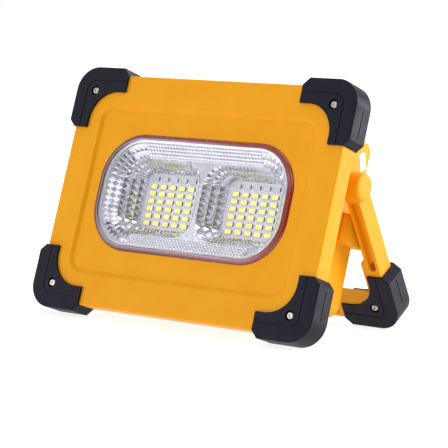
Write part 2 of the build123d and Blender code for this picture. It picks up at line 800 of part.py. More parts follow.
def solar_wires():
    start = box_back - solar_recess
    route = [(-65.5, start, 43.0), (-65.5, start - 8.5, 43.0), (-61.0, start - 15.0, 40.0),
             (-53.0, start - 17.5, 35.0), (-46.0, start - 17.0, 30.5), (-43.5, board_front - 5.5, 27.5),
             (-43.5, board_front, 27.5)]
    return wire_pair(route, (3.4, 0, 0))


def port_wires():
    route = [(97.5, socket_front, 0.5), (97.5, socket_front - 5.0, 0.5), (90.0, socket_front - 7.8, 1.5),
             (79.0, socket_front - 9.4, 4.5), (67.0, socket_front - 10.2, 8.0),
             (56.5, socket_front - 10.4, 11.5), (49.5, board_front - 5.0, 15.5), (49.5, board_front, 15.5)]
    return wire_pair(route, (0, 0, -3.4))


def button_wires():
    start = button_flange_front - button_travel - 0.2 - 5.4
    route = [(-96.0, start, 0.5), (-96.0, start - 4.0, 0.5), (-89.5, start - 6.4, 1.5),
             (-79.0, start - 8.0, 4.5), (-67.0, start - 8.6, 8.0), (-56.5, start - 8.4, 11.5),
             (-49.5, board_front - 5.0, 15.5), (-49.5, board_front, 15.5)]
    return wire_pair(route, (0, 0, -3.4))


# ---- hinge ----
def hinge_bolt(side):
    """Machine screw through the hub, boss and wall."""
    head_x = side * (arm_outer - 4.0)
    body = rod_x(bolt_diameter / 2 - 0.05, head_x, side * (box_half_width - 11.0), pivot_y, pivot_z)
    body += rod_x(4.6, head_x, head_x + side * 2.8, pivot_y, pivot_z)
    plane = Plane(origin=(head_x + side * 2.8, pivot_y, pivot_z), x_dir=(0, 1, 0), z_dir=(side, 0, 0))
    body -= extrude(plane * RegularPolygon(2.0, 6, major_radius=False), amount=-1.6)
    return body


def hinge_nut(side):
    body = hex_rod(7.9, side * (box_half_width - 9.9), side * (box_half_width - 5.2))
    return body - rod_x(bolt_diameter / 2 - 0.05, side * (box_half_width - 12), side * box_half_width,
                        pivot_y, pivot_z)


def hinge_washer(side):
    """Friction washer that holds the stand at the chosen angle."""
    ring = rod_x(hub_diameter / 2 - 0.8, side * (boss_outer + 0.02), side * (arm_inner - 0.02),
                 pivot_y, pivot_z)
    return ring - rod_x(bolt_diameter / 2 + 0.05, side * boss_outer, side * (arm_inner + 1), pivot_y, pivot_z)


def hub_cap(side):
    """Domed disc that hides the bolt head."""
    base = rod_x(hub_diameter / 2 - 0.4, side * arm_outer, side * (arm_outer + 3.0), pivot_y, pivot_z)
    rim = base.edges().filter_by(GeomType.CIRCLE).sort_by(Axis.X)[-1 if side > 0 else 0]
    base = fillet(rim, 2.2)
    return base + rod_x(4.8, side * (arm_outer - 1.0), side * (arm_outer + 0.5), pivot_y, pivot_z)


# ---- stand, drawn folded straight down behind the frame ----
def stand_frame():
    half = arm_thickness / 2
    foot_z = pivot_z - (stand_length - bumper_proud)
    body = None
    for side in (-1, 1):
        arm = block(side * arm_inner, side * arm_outer, pivot_y - half, pivot_y + half, foot_z, pivot_z)
        hub = rod_x(hub_diameter / 2, side * arm_inner, side * arm_outer, pivot_y, pivot_z)
        # widened foot of the arm, stepped inwards where the bumper takes over
        foot = block(side * (arm_inner - 3.4), side * arm_outer, pivot_y - half, pivot_y + half, foot_z,
                     pivot_z - 60.0)
        side_body = arm + hub + foot
        body = side_body if body is None else body + side_body
    bar = block(-arm_outer, arm_outer, pivot_y - half, pivot_y + half, foot_z, pivot_z - cross_bar_inner)
    body += bar
    outer_corner = body.edges().filter_by(Axis.Y).group_by(Axis.Z)[0]
    body = fillet(outer_corner, frame_corner)
    # front of the foot stepped back under the rubber
    for side in (-1, 1):
        foot_corner = Pos(0, outer_z + pivot_z - stand_length) * corner_sketch(bumper_outline(), side, -1)
        body -= slab(foot_corner, pivot_y - half - 1, stand_pocket_front)
    for side in (-1, 1):
        # long channel in the front face of each arm
        channel = (Pos(side * (arm_inner + 5.2), pivot_z - 37.5) * Rectangle(5.4, 57.0))
        channel = fillet(channel.vertices(), 2.6)
        body -= slab(channel, pivot_y - half - 1, pivot_y - half + arm_channel_depth)
        body -= rod_y(2.7, pivot_y - half, pivot_y + 2.5, side * (arm_inner + 5.2), pivot_z - 63.3)
        body -= rod_x(bolt_diameter / 2 + 0.05, side * (arm_inner - 1), side * (arm_outer + 1),
                      pivot_y, pivot_z)
        body -= rod_x(4.9, side * (arm_outer - 4.0), side * (arm_outer + 1), pivot_y, pivot_z)
    for x, z in stand_screw_points():
        body -= rod_y(small_screw / 2, pivot_y - half - 1, pivot_y + half + 1, x, z)
    # shallow channel in the front of the crossbar
    body -= block(-70, 70, pivot_y - half - 1, pivot_y - half + 5, foot_z + 3.0, pivot_z - cross_bar_inner - 3.0)
    return body


def stand_screw_points():
    foot_z = pivot_z - stand_length
    return [(side * (outer_x - screw_inset), foot_z + screw_inset) for side in (-1, 1)]


def stand_bumper(side):
    y_front = pivot_y + stand_bumper_front
    y_back = y_front + (bumper_back - bumper_front)
    half = arm_thickness / 2
    body = lower_left_bumper(y_front, y_back, stand_pocket_front, pivot_y + half)
    body = Pos(0, 0, outer_z + pivot_z - stand_length) * body
    return body if side < 0 else mirrored(body)


def stand_bumper_screws(from_front):
    y_front = pivot_y + stand_bumper_front
    y_back = y_front + (bumper_back - bumper_front)
    screws = []
    for x, z in stand_screw_points():
        if from_front:
            screws.append(phillips_screw(y_front + 2.0, 1, 7.0, x, z))
        else:
            screws.append(phillips_screw(y_back - 2.0, -1, 8.0, x, z))
    return Compound(screws)


# ---- assembly ----
def head_parts():
    parts = {}
    parts["front_shell"] = front_shell()
    parts["rear_shell"] = rear_shell()
    bumper = frame_bumper()
    for name, sx, sz in corners():
        parts["frame_bumper_" + name] = place_corner(bumper, sx, sz)
    parts["frame_bumper_screws_front"] = frame_bumper_screws(True)
    parts["frame_bumper_screws_rear"] = frame_bumper_screws(False)
    parts["lens"] = lens()
    parts["lens_gasket"] = lens_gasket()
    parts["reflector"] = reflector()
    parts["reflector_screws"] = reflector_screws()
    parts["led_board"] = led_board()
    parts["lamp_leds"] = lamp_leds()
    parts["signal_leds"] = signal_leds()
    parts["heat_sink"] = heat_sink()
    parts["led_board_screws"] = led_board_screws()
    parts["shell_seal"] = shell_seal()
    parts["shell_screws"] = shell_screws()
    parts["solar_backing"] = solar_backing()
    parts["solar_cells"] = solar_cells()
    parts["solar_cover"] = solar_cover()
    parts["battery_cells"] = battery_cells()
    parts["battery_holder"] = battery_holder()
    parts["battery_holder_screws"] = holder_screws()
    parts["cell_links"] = cell_links()
    parts["control_board"] = control_board()
    parts["control_board_parts"] = board_parts()
    parts["control_board_screws"] = board_screws()
    parts["port_socket"] = port_socket()
    parts["port_cover_pin"] = port_cover_pin()
    parts["button_switch"] = button_switch()
    parts["side_label"] = side_label()
    parts["lamp_wires"] = lamp_wires()
    parts["battery_wires"] = battery_wires()
    parts["solar_wires"] = solar_wires()
    parts["port_wires"] = port_wires()
    parts["button_wires"] = button_wires()
    for name, side in (("left", -1), ("right", 1)):
        parts["hinge_bolt_" + name] = hinge_bolt(side)
        parts["hinge_nut_" + name] = hinge_nut(side)
        parts["hinge_washer_" + name] = hinge_washer(side)
    parts["port_cover"] = port_cover()
    parts["power_button"] = power_button()
    return parts


def stand_parts():
    parts = {"stand_frame": stand_frame()}
    for name, side in (("left", -1), ("right", 1)):
        parts["stand_bumper_" + name] = stand_bumper(side)
        parts["hub_cap_" + name] = hub_cap(side)
    parts["stand_bumper_screws_front"] = stand_bumper_screws(True)
    parts["stand_bumper_screws_rear"] = stand_bumper_screws(False)
    return parts


def stand_opening(angle):
    """Turn of the stand about its pivot, backwards from folded."""
    return Pos(0, pivot_y, pivot_z) * Rot(angle, 0, 0) * Pos(0, -pivot_y, -pivot_z)


def placed_parts():
    parts = head_parts()
    for name, shape in stand_parts().items():
        parts[name] = stand_opening(stand_angle) * shape
    lean = Rot(-lean_angle, 0, 0)
    leaned = {name: lean * shape for name, shape in parts.items()}
    box = Compound([shape for shape in leaned.values()]).bounding_box()
    shift = Pos(0, -(box.min.Y + box.max.Y) / 2, -box.min.Z)
    return {name: shift * shape for name, shape in leaned.items()}, shift


if __name__ == "__main__":
    os.makedirs("parts", exist_ok=True)
    placed, offset = placed_parts()
    for part_name, part_shape in placed.items():
        part_shape.label = part_name
        export_step(part_shape, "parts/" + part_name + ".step")
    print("head origin in the part's frame", offset.position)
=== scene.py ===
import json
import math

import bmesh
import bpy
from mathutils import Euler, Matrix, Vector
from mathutils.geometry import tessellate_polygon


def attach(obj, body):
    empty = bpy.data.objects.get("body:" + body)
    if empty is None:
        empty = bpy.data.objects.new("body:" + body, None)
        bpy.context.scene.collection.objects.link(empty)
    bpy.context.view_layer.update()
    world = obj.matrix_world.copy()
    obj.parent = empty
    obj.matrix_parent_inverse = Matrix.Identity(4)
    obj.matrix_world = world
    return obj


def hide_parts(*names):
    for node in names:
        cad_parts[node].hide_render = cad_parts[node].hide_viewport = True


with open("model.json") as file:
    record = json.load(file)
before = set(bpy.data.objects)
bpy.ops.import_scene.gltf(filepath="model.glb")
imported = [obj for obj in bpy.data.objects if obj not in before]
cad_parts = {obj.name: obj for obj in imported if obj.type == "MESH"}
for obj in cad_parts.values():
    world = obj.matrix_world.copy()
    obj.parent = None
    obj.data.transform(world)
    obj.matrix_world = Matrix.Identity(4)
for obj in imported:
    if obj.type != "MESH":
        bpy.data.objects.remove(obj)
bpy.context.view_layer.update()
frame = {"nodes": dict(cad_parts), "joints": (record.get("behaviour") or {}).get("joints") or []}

# Looks of the solar flood light. Pieces are drawn in the lamp head's own frame in millimetres (X to
# the right, Y back from the front face, Z up the face) and placed with HEAD, which is read from the
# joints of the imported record.

MM = 0.001
JOINTS = {joint["name"]: joint for joint in frame["joints"]}
NODES = frame["nodes"]

PIVOT_DEPTH = 33.4
PIVOT_HEIGHT = 25.0
head_back = -Vector(JOINTS["power_button_press"]["axis"]).normalized()
head_up = Vector((1, 0, 0)).cross(head_back)
head_origin = (Vector(JOINTS["stand_hinge"]["pos_m"]) - head_back * PIVOT_DEPTH * MM
               - head_up * PIVOT_HEIGHT * MM)
LEAN = math.atan2(-head_back.z, head_back.y)
HEAD = Matrix.Translation(head_origin) @ Euler((-LEAN, 0, 0)).to_matrix().to_4x4() @ Matrix.Scale(MM, 4)


# ---- node helpers ----
class Shader:
    """A Principled material with short calls for the nodes that feed it; lengths are in millimetres."""

    def __init__(self, name, colour, roughness, **sockets):
        self.material = bpy.data.materials.new(name)
        self.material.use_nodes = True
        self.tree = self.material.node_tree
        self.bsdf = self.tree.nodes["Principled BSDF"]
        self.set("Base Color", (*colour, 1))
        self.set("Roughness", roughness)
        for socket, value in sockets.items():
            self.set(socket.replace("_", " "), value)

    def set(self, socket, value):
        self.bsdf.inputs[socket].default_value = value

    def node(self, kind, **settings):
        made = self.tree.nodes.new(kind)
        for key, value in settings.items():
            setattr(made, key, value)
        return made

    def link(self, output, target):
        self.tree.links.new(output, target)

    def place(self):
        """The point in the head's frame, in millimetres."""
        if not hasattr(self, "_place"):
            coords = self.node("ShaderNodeTexCoord")
            mapping = self.node("ShaderNodeMapping", vector_type="POINT")
            turn = Euler((LEAN, 0, 0))
            mapping.inputs["Scale"].default_value = (1 / MM,) * 3
            mapping.inputs["Rotation"].default_value = turn
            mapping.inputs["Location"].default_value = -(turn.to_matrix() @ (head_origin / MM))
            self.link(coords.outputs["Object"], mapping.inputs["Vector"])
            self._place = mapping.outputs["Vector"]
        return self._place

    def noise(self, scale, detail=2.0, roughness=0.5, stretch=(1, 1, 1)):
        """Noise with the given number of features per millimetre."""
        source = self.place()
        if stretch != (1, 1, 1):
            mapping = self.node("ShaderNodeMapping")
            mapping.inputs["Scale"].default_value = stretch
            self.link(source, mapping.inputs["Vector"])
            source = mapping.outputs["Vector"]
        made = self.node("ShaderNodeTexNoise")
        made.inputs["Scale"].default_value = scale
        made.inputs["Detail"].default_value = detail
        made.inputs["Roughness"].default_value = roughness
        self.link(source, made.inputs["Vector"])
        return made.outputs["Fac"]

    def cells(self, scale, feature="F1"):
        """Distance within random cells, with the given number of cells per millimetre."""
        made = self.node("ShaderNodeTexVoronoi", feature=feature)
        made.inputs["Scale"].default_value = scale
        self.link(self.place(), made.inputs["Vector"])
        return made.outputs["Distance"]

    def ramp(self, source, stops):
        """Colour against a value, from (position, colour) stops."""
        made = self.node("ShaderNodeValToRGB")
        elements = made.color_ramp.elements
        while len(elements) < len(stops):
            elements.new(0.5)
        for element, (position, colour) in zip(elements, stops):
            element.position = position
            element.color = (*colour, 1)
        self.link(source, made.inputs["Fac"])
        return made.outputs["Color"]

    def span(self, source, low, high, start, end):
        """Maps start...end onto low...high."""
        made = self.node("ShaderNodeMapRange")
        for socket, value in (("From Min", start), ("From Max", end), ("To Min", low), ("To Max", high)):
            made.inputs[socket].default_value = value
        self.link(source, made.inputs["Value"])
        return made.outputs["Result"]

    def maths(self, operation, a, b):
        """One Math node on two values, each a number or a socket."""
        made = self.node("ShaderNodeMath", operation=operation)
        for socket, value in zip(made.inputs, (a, b)):
            if isinstance(value, (int, float)):
                socket.default_value = value
            else:
                self.link(value, socket)
        return made.outputs["Value"]

    def mix(self, factor, a, b):
        """Blends a towards b, each a colour or a socket, by the factor's socket."""
        made = self.node("ShaderNodeMix", data_type="RGBA")
        for name, value in (("Factor_Float", factor), ("A_Color", a), ("B_Color", b)):
            socket = next(s for s in made.inputs if s.identifier == name)
            if isinstance(value, tuple):
                socket.default_value = (*value, 1)
            else:
                self.link(value, socket)
        return next(s for s in made.outputs if s.identifier == "Result_Color")

    def axes(self):
        """X and Z of the point in the head's frame, in millimetres."""
        split = self.node("ShaderNodeSeparateXYZ")
        self.link(self.place(), split.inputs["Vector"])
        return split.outputs["X"], split.outputs["Z"]

    def colour(self, source):
        self.link(source, self.bsdf.inputs["Base Color"])

    def rough(self, source):
        self.link(source, self.bsdf.inputs["Roughness"])

    def bump(self, height, depth_mm):
        made = self.node("ShaderNodeBump")
        made.inputs["Distance"].default_value = depth_mm * MM
        made.inputs["Strength"].default_value = 1.0
        self.link(height, made.inputs["Height"])
        self.link(made.outputs["Normal"], self.bsdf.inputs["Normal"])


# ---- materials ----
def moulded(name, base, shade, roughness, grain, grain_scale=2.2, **sockets):
    """Injection-moulded plastic or rubber: slow colour drift, spark-eroded grain, uneven gloss."""
    s = Shader(name, base, roughness, **sockets)
    s.colour(s.ramp(s.noise(0.035, 3.0, 0.55), [(0.32, shade), (0.66, base)]))
    s.rough(s.span(s.noise(0.12, 2.0), roughness - 0.05, roughness + 0.06, 0.3, 0.7))
    s.bump(s.noise(grain_scale, 4.0, 0.6), grain)
    return s


yellow = moulded("yellow_plastic", (0.86, 0.37, 0.008), (0.83, 0.345, 0.006), 0.42, grain=0.02,
                 Specular_IOR_Level=0.12)
rubber = moulded("bumper_rubber", (0.0065, 0.0060, 0.0110), (0.0050, 0.0045, 0.0090), 0.5, grain=0.05,
                 grain_scale=1.8, Specular_IOR_Level=0.22)
rubber.set("Specular Tint", (0.78, 0.76, 1.0, 1))
soft_black = moulded("soft_black_rubber", (0.030, 0.030, 0.034), (0.022, 0.022, 0.025), 0.62, grain=0.03)
black_plastic = moulded("black_plastic", (0.022, 0.022, 0.025), (0.016, 0.016, 0.018), 0.42, grain=0.02)


def painted_light_slant(s):
    """0 at the lower left of the window to 1 at its upper right: the slant of the painted light and shade
    on the window's ring.
    """
    x, z = s.axes()
    slanted = s.maths("ADD", x, s.maths("MULTIPLY", z, 0.6))
    return s.span(slanted, 0.0, 1.0, -70.0, 75.0)


def make_gasket_material():
    """Translucent red rubber, with painted shade that darkens and browns it towards the lower left and
    painted light that makes it a brighter red towards the upper right.
    """
    s = Shader("gasket_rubber", (0.24, 0.03, 0.03), 0.25, Coat_Weight=0.8, Coat_Roughness=0.08)
    s.colour(s.ramp(painted_light_slant(s), [(0.0, (0.075, 0.012, 0.022)), (0.45, (0.19, 0.030, 0.060)),
                                       (0.8, (0.25, 0.026, 0.026)), (1.0, (0.28, 0.018, 0.008))]))
    s.rough(s.span(s.noise(0.3, 2.0), 0.2, 0.3, 0.3, 0.7))
    s.bump(s.noise(0.8, 2.0), 0.008)
    return s


def make_gasket_edge():
    """Clear inner bead of the ring, tinted by the rubber round it; its colour changes across the window as
    painted light and shade, pale pink towards the lower left and middle, partly a painted highlight of the
    lens edge, and dark red towards the upper right.
    """
    s = Shader("gasket_edge", (0.60, 0.46, 0.52), 0.2, Coat_Weight=0.6, Coat_Roughness=0.08)
    s.colour(s.ramp(painted_light_slant(s), [(0.0, (0.34, 0.23, 0.25)), (0.55, (0.50, 0.26, 0.32)),
                                       (0.9, (0.27, 0.045, 0.04))]))
    s.bump(s.noise(0.8, 2.0), 0.008)
    return s


def make_frosted():
    """Satin moulding of the reflector's lip."""
    s = Shader("reflector_lip", (0.66, 0.66, 0.72), 0.35, Metallic=0.3)
    s.colour(s.ramp(s.noise(0.2, 2.0), [(0.3, (0.62, 0.61, 0.68)), (0.7, (0.70, 0.70, 0.75))]))
    s.bump(s.noise(0.9, 2.0), 0.01)
    return s


def make_plating():
    """Vacuum plating, a little uneven."""
    s = Shader("reflector_plating", (0.80, 0.80, 0.86), 0.12, Metallic=1.0)
    s.colour(s.ramp(s.noise(0.09, 2.0), [(0.3, (0.77, 0.77, 0.83)), (0.7, (0.84, 0.84, 0.89))]))
    s.rough(s.span(s.noise(0.5, 3.0), 0.07, 0.15, 0.3, 0.7))
    s.bump(s.noise(0.9, 2.0), 0.012)
    return s


def make_clear(name, roughness, ior):
    """Clear moulded cover."""
    s = Shader(name, (0.97, 0.97, 1.0), roughness, Transmission_Weight=1.0, IOR=ior)
    s.rough(s.span(s.noise(0.05, 2.0), roughness - 0.02, roughness + 0.02, 0.35, 0.7))
    return s


def make_board_white():
    """White solder mask."""
    s = Shader("lamp_board_white", (0.84, 0.83, 0.88), 0.4)
    s.colour(s.ramp(s.noise(0.25, 3.0), [(0.3, (0.80, 0.79, 0.85)), (0.7, (0.88, 0.87, 0.90))]))
    s.bump(s.noise(1.2, 2.0), 0.02)
    return s


def make_phosphor():
    """Yellow phosphor with a painted glow: a little emission makes it brighter though the lamp is off."""
    s = Shader("led_phosphor", (0.92, 0.88, 0.16), 0.35, Coat_Weight=0.3, Coat_Roughness=0.1)
    s.colour(s.ramp(s.noise(0.9, 2.0), [(0.3, (0.88, 0.82, 0.10)), (0.7, (0.96, 0.93, 0.24))]))
    # painted glow: a weak yellow emission stands in for light on the unlit phosphor
    s.set("Emission Color", (1.0, 0.97, 0.20, 1))
    s.set("Emission Strength", 0.32)
    s.bump(s.noise(3.0, 2.0), 0.01)
    return s


def make_clear_resin():
    """Clear resin over an unlit well."""
    s = Shader("led_clear_resin", (0.74, 0.74, 0.80), 0.3, Coat_Weight=0.6, Coat_Roughness=0.08)
    s.colour(s.ramp(s.noise(0.8, 2.0), [(0.3, (0.66, 0.66, 0.73)), (0.7, (0.80, 0.80, 0.84))]))
    s.bump(s.noise(3.0, 2.0), 0.01)
    return s


def metal(name, colour, roughness):
    """Plain metal with patchy tone and fine scratches one way."""
    s = Shader(name, colour, roughness, Metallic=1.0)
    scratch = (1, 1, 6)
    darker = tuple(c * 0.82 for c in colour)
    s.colour(s.ramp(s.noise(0.6, 3.0), [(0.3, darker), (0.7, colour)]))
    s.rough(s.span(s.noise(1.4, 3.0, stretch=scratch), roughness - 0.07, roughness + 0.1, 0.3, 0.7))
    s.bump(s.noise(3.0, 3.0, stretch=scratch), 0.01)
    return s


def make_solar():
    """Dark blue silicon with fine silver fingers across each cell and two busbars along it."""
    s = Shader("solar_silicon", (0.02, 0.035, 0.11), 0.28, Coat_Weight=0.2, Coat_Roughness=0.06)
    x, z = s.axes()
    tone = s.ramp(s.cells(0.11), [(0.1, (0.030, 0.045, 0.120)), (0.9, (0.055, 0.075, 0.17))])
    finger = s.maths("LESS_THAN", s.maths("PINGPONG", x, 0.9), 0.09)
    busbar = s.maths("LESS_THAN", s.maths("PINGPONG", s.maths("ADD", z, 6.0), 13.0), 0.45)
    lines = s.maths("MAXIMUM", s.maths("MULTIPLY", finger, 0.45), busbar)
    s.colour(s.mix(lines, tone, (0.42, 0.44, 0.50)))
    s.bump(lines, 0.02)
    return s


def make_circuit_green():
    """Green solder mask over tracks."""
    s = Shader("circuit_board", (0.02, 0.16, 0.06), 0.3, Coat_Weight=0.5, Coat_Roughness=0.1)
    tracks = s.cells(0.35, "DISTANCE_TO_EDGE")
    s.colour(s.ramp(tracks, [(0.04, (0.04, 0.24, 0.09)), (0.10, (0.015, 0.12, 0.045))]))
    s.bump(s.noise(1.0, 2.0), 0.02)
    return s


def make_label():
    """Blank satin paper."""
    s = Shader("label_paper", (0.86, 0.86, 0.86), 0.45)
    s.colour(s.ramp(s.noise(1.2, 4.0), [(0.3, (0.82, 0.82, 0.82)), (0.7, (0.90, 0.90, 0.89))]))
    s.bump(s.noise(4.0, 3.0), 0.008)
    return s


gasket = make_gasket_material()
gasket_edge = make_gasket_edge()
plating = make_plating()
frosted = make_frosted()
glass = make_clear("lens_clear", 0.02, 1.46)
solar_glass = make_clear("solar_clear", 0.10, 1.22)
board_white = make_board_white()
phosphor = make_phosphor()
clear_resin = make_clear_resin()
nickel = metal("screw_nickel", (0.54, 0.53, 0.51), 0.27)
aluminium = metal("heat_sink_aluminium", (0.70, 0.71, 0.73), 0.35)
# dark purple-grey for the solder terminals, also laid on the packages' sides as painted shade
solder_and_shade = moulded("led_solder_and_painted_shade", (0.14, 0.12, 0.18), (0.08, 0.07, 0.11), 0.4, grain=0.005)
solar_silicon = make_solar()
circuit_green = make_circuit_green()
label_paper = make_label()
cell_blue = moulded("cell_sleeve", (0.03, 0.10, 0.32), (0.025, 0.08, 0.27), 0.25, grain=0.01)
wire_red = moulded("wire_insulation", (0.42, 0.02, 0.015), (0.36, 0.015, 0.012), 0.35, grain=0.01)

NODE_SHADERS = {
    yellow: ["front_shell", "rear_shell", "stand_frame", "hub_cap_left", "hub_cap_right"],
    rubber: ["frame_bumper_top_left", "frame_bumper_bottom_left", "frame_bumper_top_right",
             "frame_bumper_bottom_right", "stand_bumper_left", "stand_bumper_right"],
    soft_black: ["shell_seal", "port_cover"],
    black_plastic: ["solar_backing", "battery_holder", "control_board_parts", "button_switch",
                    "power_button"],
    gasket: ["lens_gasket"],
    plating: ["reflector"],
    glass: ["lens"],
    solar_glass: ["solar_cover"],
    board_white: ["led_board"],
    phosphor: ["lamp_leds"],
    clear_resin: ["signal_leds"],
    nickel: ["frame_bumper_screws_front", "frame_bumper_screws_rear", "reflector_screws",
             "led_board_screws", "shell_screws", "battery_holder_screws", "control_board_screws",
             "stand_bumper_screws_front", "stand_bumper_screws_rear", "hinge_bolt_left",
             "hinge_bolt_right", "hinge_nut_left", "hinge_nut_right", "hinge_washer_left",
             "hinge_washer_right", "port_cover_pin", "cell_links", "port_socket"],
    aluminium: ["heat_sink"],
    solar_silicon: ["solar_cells"],
    circuit_green: ["control_board"],
    label_paper: ["side_label"],
    cell_blue: ["battery_cells"],
    wire_red: ["lamp_wires", "battery_wires", "solar_wires", "port_wires", "button_wires"],
}
for shader, names in NODE_SHADERS.items():
    for name in names:
        mesh = NODES[name].data
        mesh.materials.clear()
        mesh.materials.append(shader.material)
for name in ("lens", "solar_cover"):
    NODES[name].visible_shadow = False


# ---- mesh helpers ----
def add_piece(name, builder, shaders, smooth):
    """A piece that rides on the head; smooth says which kinds of its faces are shaded smooth."""
    mesh = bpy.data.meshes.new(name)
    mesh.from_pydata([Vector(v) for v in builder.verts], [], builder.faces)
    mesh.transform(HEAD)
    for shader in shaders:
        mesh.materials.append(shader.material)
    mesh.polygons.foreach_set("material_index", builder.kinds)
    mesh.polygons.foreach_set("use_smooth", [kind in smooth for kind in builder.kinds])
    mesh.update()
    piece = bpy.data.objects.new(name, mesh)
    bpy.context.scene.collection.objects.link(piece)
    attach(piece, "head")
    return piece


def ring_points(half_w, half_h, corner, across, up, turn, centre=0.0):
    """Points round a rounded rectangle: a set number on each straight side and in each corner."""
    inner_w = half_w - corner
    inner_h = half_h - corner
    centres = [(inner_w, inner_h), (-inner_w, inner_h), (-inner_w, -inner_h), (inner_w, -inner_h)]

    def on_corner(index, degrees):
        angle = math.radians(degrees)
        cx, cz = centres[index % 4]
        return cx + corner * math.cos(angle), cz + corner * math.sin(angle)

    points = []
    for index in range(4):
        start = 90 * index
        points += [on_corner(index, start + 90 * step / turn) for step in range(turn + 1)]
        count = across if index % 2 == 0 else up
        x_first, z_first = points[-1]
        x_last, z_last = on_corner(index + 1, 90 * ((index + 1) % 4))
        for share in (step / count for step in range(1, count)):
            points.append((x_first + (x_last - x_first) * share, z_first + (z_last - z_first) * share))
    return [(x + centre, z) for x, z in points]


# kinds of face, in the order of each piece's materials
FACET, FROSTED, DOME = range(3)
RUBBER, CLEAR_BEAD = range(2)
BODY, PHOSPHOR, RESIN, SOLDER_AND_SHADE = range(4)


class Builder:
    """Collects vertices and faces of one piece."""

    def __init__(self):
        self.verts = []
        self.faces = []
        self.kinds = []

    def point(self, x, y, z):
        self.verts.append((x, y, z))
        return len(self.verts) - 1

    def ring(self, outline, y):
        return [self.point(x, y, z) for x, z in outline]

    def face(self, corners, kind=0):
        self.faces.append(tuple(corners))
        self.kinds.append(kind)

    def band(self, outer, inner, kind=0):
        """Plain quads between two rings of the same count."""
        count = len(outer)
        for i in range(count):
            j = (i + 1) % count
            self.face((outer[i], outer[j], inner[j], inner[i]), kind)

    def facets(self, outer, inner, height, domed=(), rows=1):
        """Raises each quad between two rings into a pyramid, or into rows of domes where listed."""
        count = len(outer)
        for i in range(count):
            j = (i + 1) % count
            quad = (outer[i], outer[j], inner[j], inner[i])
            a, b, c, d = (Vector(self.verts[k]) for k in quad)
            normal = (c - a).cross(d - b).normalized()
            if normal.y > 0:
                normal.negate()
            if i not in domed:
                apex = self.point(*((a + b + c + d) / 4 + normal * height))
                for k in range(4):
                    self.face((quad[k], quad[(k + 1) % 4], apex))
                continue
            for k in range(rows):
                near = (a.lerp(d, k / rows), b.lerp(c, k / rows))
                far = (b.lerp(c, (k + 1) / rows), a.lerp(d, (k + 1) / rows))
                self.dome(near + far, normal * height)

    def dome(self, corners, rise, steps=4):
        """A bulge over four corners, as a small grid of quads."""
        a, b, c, d = corners
        grid = []
        for row in range(steps + 1):
            v = row / steps
            for column in range(steps + 1):
                u = column / steps
                base = (a * (1 - u) + b * u) * (1 - v) + (d * (1 - u) + c * u) * v
                swell = 16 * u * (1 - u) * v * (1 - v)
                grid.append(self.point(*(base + rise * swell)))
        for row in range(steps):
            for column in range(steps):
                k = row * (steps + 1) + column
                self.face((grid[k], grid[k + 1], grid[k + steps + 2], grid[k + steps + 1]), DOME)


# ---- reflector ----
WINDOW = (79.2, 38.8, 30.0)       # half width, half height and corner radius of the window
LIP_DEPTH = 2.7                   # depths back from the front face
WALL_DEPTH = 5.0
DECK_DEPTH = 12.2
FLOOR_DEPTH = 28.0
CUP_CENTRE = 34.9                 # distance of each cup's mouth from the middle
FLOOR_CENTRE = 36.0               # the same for its floor
RING_STEPS = [(6.2, 8.6), (10.4, DECK_DEPTH)]     # inset from the window and depth
RING_COUNTS = (37, 4, 10)         # facets across, up and round each corner
RING_RELIEF = 1.1
CUP_STEPS = [(33.5, 27.8, 15.5, CUP_CENTRE, DECK_DEPTH), (30.0, 25.3, 12.0, 35.3, 17.5),
             (26.5, 22.9, 8.5, 35.6, 22.7), (23.0, 20.4, 5.0, FLOOR_CENTRE, FLOOR_DEPTH - 0.05)]
CUP_COUNTS = (12, 6, 6)
CUP_RELIEF = 1.15


def window_outline(grow, counts):
    """The window's outline moved outwards; inwards if grow is negative."""
    half_w, half_h, corner = WINDOW
    return ring_points(half_w + grow, half_h + grow, corner + grow, *counts)


def make_reflector():
    """Lip, faceted ring, flat deck and two faceted cups; the ring is domed along its level sides."""
    b = Builder()
    across, up, turn = RING_COUNTS
    half = across + up + 2 * turn
    level_sides = [i + k for i in range(turn, turn + across) for k in (0, half)]

    def inset_ring(inset, y):
        return b.ring(window_outline(-inset, RING_COUNTS), y)

    rim = inset_ring(0.1, LIP_DEPTH - 0.1)
    lip = inset_ring(1.9, LIP_DEPTH)
    outer = inset_ring(2.1, WALL_DEPTH)
    b.band(rim, lip, FROSTED)
    b.band(lip, outer, FROSTED)
    for inset, y in RING_STEPS:
        inner = inset_ring(inset, y)
        b.facets(outer, inner, RING_RELIEF, level_sides, 2)
        outer = inner
    cups = []
    across, up, turn = CUP_COUNTS
    upper_left = range(turn + across, 2 * turn + across)
    for side in (-1, 1):
        rings = [b.ring(ring_points(w, h, r, *CUP_COUNTS, side * centre), y)
                 for w, h, r, centre, y in CUP_STEPS]
        for upper, lower in zip(rings, rings[1:]):
            b.facets(upper, lower, CUP_RELIEF, upper_left)
        cups.append(rings[0])
    loops = [outer] + cups
    flat = [[Vector((b.verts[i][0], b.verts[i][2], 0)) for i in loop] for loop in loops]
    order = [i for loop in loops for i in loop]
    for triangle in tessellate_polygon(flat):
        b.face([order[i] for i in triangle])
    piece = add_piece("reflector_faceted", b, [plating, frosted, plating], (DOME,))
    mesh = piece.data
    bm = bmesh.new()
    bm.from_mesh(mesh)
    bmesh.ops.recalc_face_normals(bm, faces=bm.faces)
    bm.to_mesh(mesh)
    bm.free()
    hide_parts("reflector")


# ---- window gasket ----
# offset from the window's edge and depth round the section: inner wall, clear bead, groove, outer bead
GASKET_PROFILE = [(0.05, 2.05), (0.05, 0.35), (0.20, 0.22), (0.50, 0.20), (0.90, 0.32), (1.20, 0.62),
                  (1.40, 0.70), (1.70, 0.62), (2.30, 0.76), (2.95, 1.10), (3.50, 1.60), (3.85, 2.10),
                  (3.88, 2.40)]
BEAD_START = 0.1
BEAD_END = 1.3


